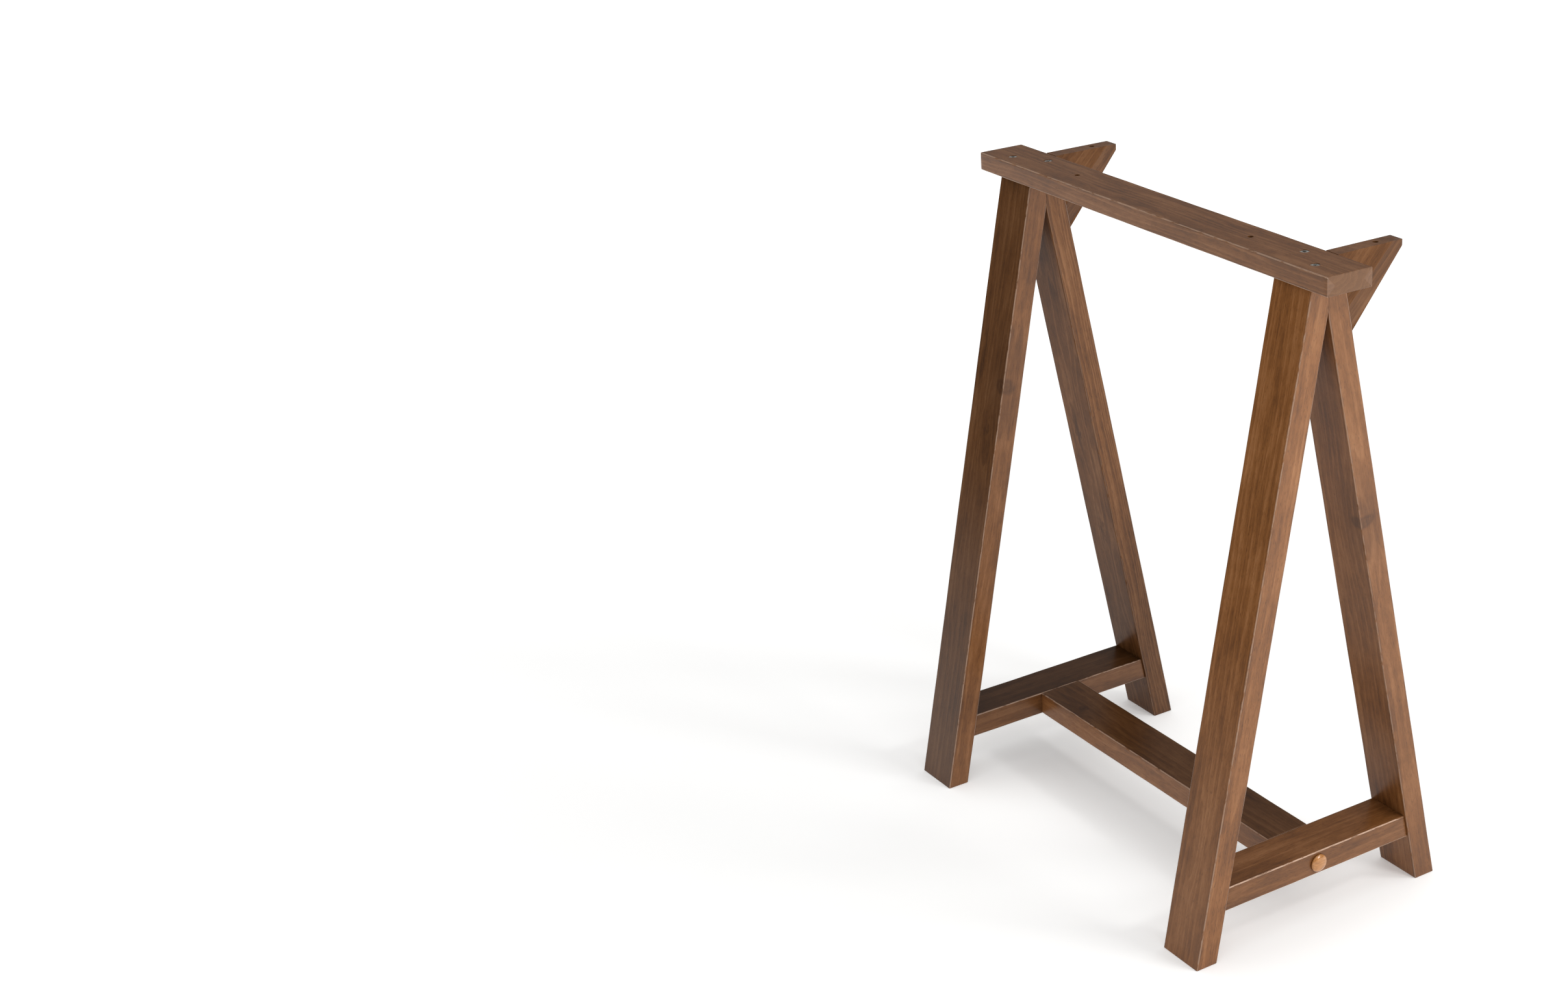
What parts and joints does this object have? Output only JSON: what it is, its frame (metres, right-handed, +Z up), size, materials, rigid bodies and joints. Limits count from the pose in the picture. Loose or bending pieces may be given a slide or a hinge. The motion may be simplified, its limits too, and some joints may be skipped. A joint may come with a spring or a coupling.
{
  "type": "trestle sawhorse",
  "caption": "Fixed wooden A-frame trestle with splayed legs, low cross rails, a long stretcher and a flat top beam that carries one end of a tabletop.",
  "frame": {"origin": "on the floor, under the middle of the top beam", "axes": "+Z up; Y along the beam and the stretcher, -Y the front A-frame; X across the A-frames, +X the side of the corner braces"},
  "size_m": [0.328, 0.6, 0.728],
  "materials": {
    "stained_pine": "medium brown stain under satin lacquer",
    "turned_button": "honey stain under gloss lacquer",
    "beech_tenon": "plain compressed beech",
    "zinc_steel": "zinc-plated steel"
  },
  "bodies": {
    "root": {"barrel_nuts": "zinc_steel", "beam_screws": "zinc_steel", "bolt_washers": "zinc_steel", "brace_screws": "zinc_steel", "button_plugs": "turned_button", "corner_brace_back": "stained_pine", "corner_brace_front": "stained_pine", "cross_rail_back": "stained_pine", "cross_rail_front": "stained_pine", "head_tenon_back": "beech_tenon", "head_tenon_front": "beech_tenon", "leg_back_left": "stained_pine", "leg_back_right": "stained_pine", "leg_front_left": "stained_pine", "leg_front_right": "stained_pine", "rail_tenons_back": "beech_tenon", "rail_tenons_front": "beech_tenon", "stretcher": "stained_pine", "stretcher_bolt_back": "zinc_steel", "stretcher_bolt_front": "zinc_steel", "stretcher_tenons_back": "beech_tenon", "stretcher_tenons_front": "beech_tenon", "top_beam": "stained_pine"}
  },
  "joints": []
}
